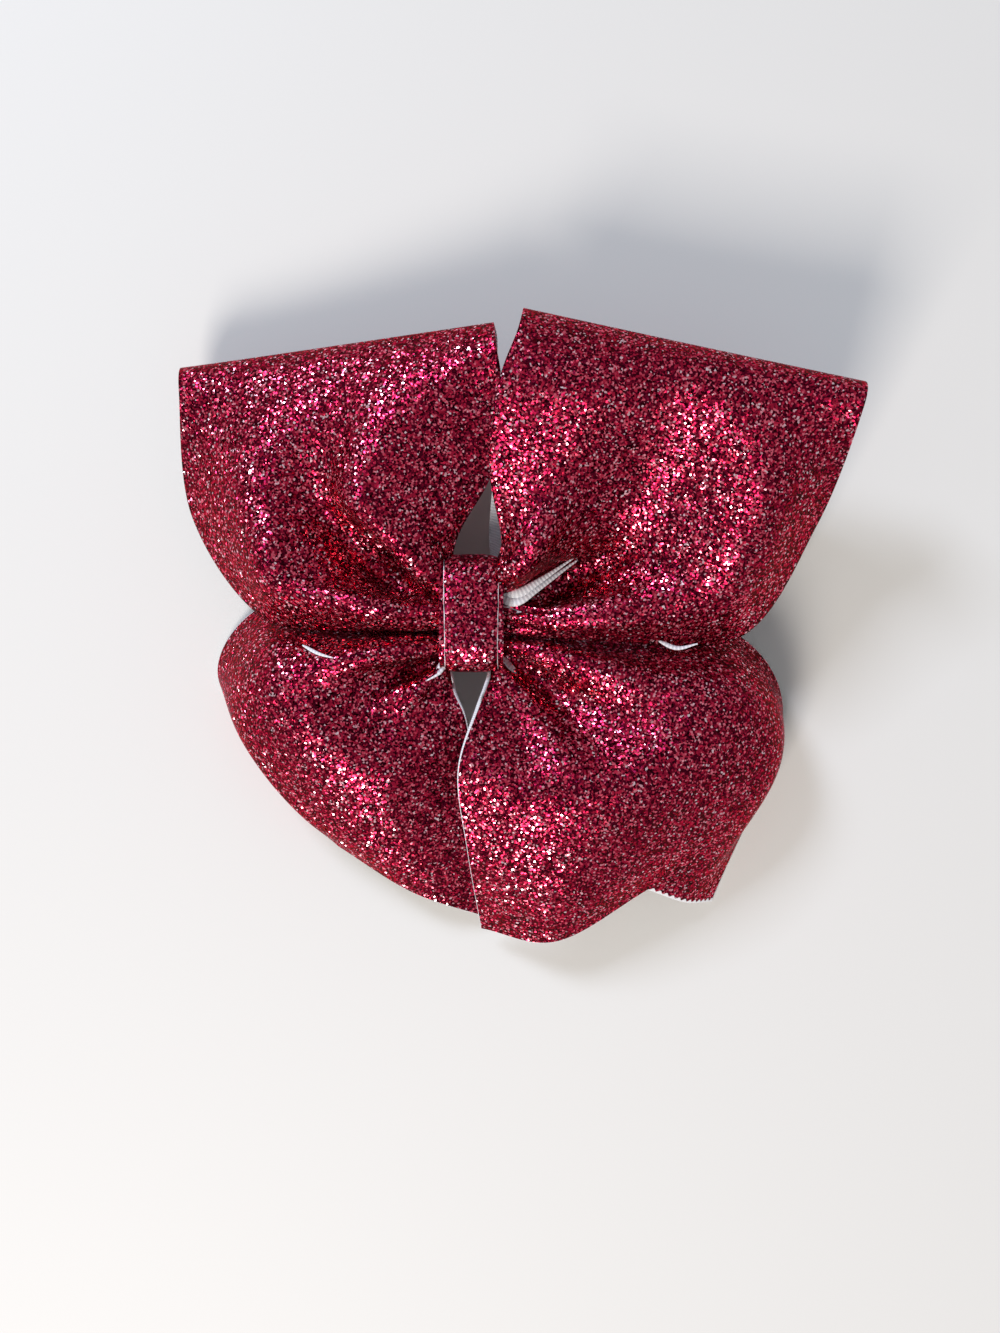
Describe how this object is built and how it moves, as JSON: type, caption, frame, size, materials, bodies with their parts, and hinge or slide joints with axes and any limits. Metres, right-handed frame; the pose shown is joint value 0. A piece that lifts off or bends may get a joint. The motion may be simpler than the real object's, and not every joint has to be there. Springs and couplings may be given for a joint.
{
  "type": "cheer hair bow",
  "caption": "Large glitter ribbon hair bow with two folded loops, two dovetail tails, a knot band and a hinged spring barrette behind it.",
  "frame": {"origin": "middle of the bow's footprint on the surface it lies on, face up", "axes": "+X to the right across the loops, +Y from the tails towards the loops' folds, +Z out of the bow's face"},
  "size_m": [0.1562, 0.1448, 0.0464],
  "materials": {
    "glitter_ribbon": "deep red glitter face on white woven backing",
    "white_nylon": "natural nylon",
    "hot_glue": "clear amber, set hot glue",
    "plated_steel": "nickel plated stamped steel",
    "spring_steel": "bright spring steel"
  },
  "bodies": {
    "bow": {"ribbon_loop_left": "glitter_ribbon", "ribbon_loop_right": "glitter_ribbon", "ribbon_tail_left": "glitter_ribbon", "ribbon_tail_right": "glitter_ribbon", "ribbon_gathers": "glitter_ribbon", "knot_band": "glitter_ribbon", "cable_tie": "white_nylon", "glue_pad": "hot_glue", "barrette_base": "plated_steel", "hinge_pin": "plated_steel", "catch_saddle": "spring_steel", "catch_rivet": "plated_steel"},
    "arm": {"barrette_arm": "plated_steel"},
    "tension_bar": {"tension_bar": "spring_steel"},
    "prong_upper": {"catch_prong_upper": "spring_steel"},
    "prong_lower": {"catch_prong_lower": "spring_steel"}
  },
  "joints": [
    {"name": "arm_hinge", "type": "hinge", "parent": "bow", "child": "arm", "pos_m": [-0.03662, 0.00571, 0.00145], "axis": [0, 1, 0], "range_deg": [0, 70]},
    {"name": "tension_flex", "type": "hinge", "parent": "bow", "child": "tension_bar", "pos_m": [-0.03402, 0.00571, 0.00962], "axis": [0, -1, 0], "range_deg": [0, 3], "stiffness_Nm_per_rad": 0.3},
    {"name": "prong_upper_pinch", "type": "hinge", "parent": "bow", "child": "prong_upper", "pos_m": [0.01568, 0.00691, 0.00922], "axis": [1, 0, 0], "range_deg": [-5, 0], "stiffness_Nm_per_rad": 0.02},
    {"name": "prong_lower_pinch", "type": "hinge", "parent": "bow", "child": "prong_lower", "pos_m": [0.01568, 0.00451, 0.00922], "axis": [1, 0, 0], "range_deg": [0, 5], "stiffness_Nm_per_rad": 0.02}
  ],
  "couplings": [
    {"joint": "prong_lower_pinch", "follows": "prong_upper_pinch", "ratio": -1}
  ]
}
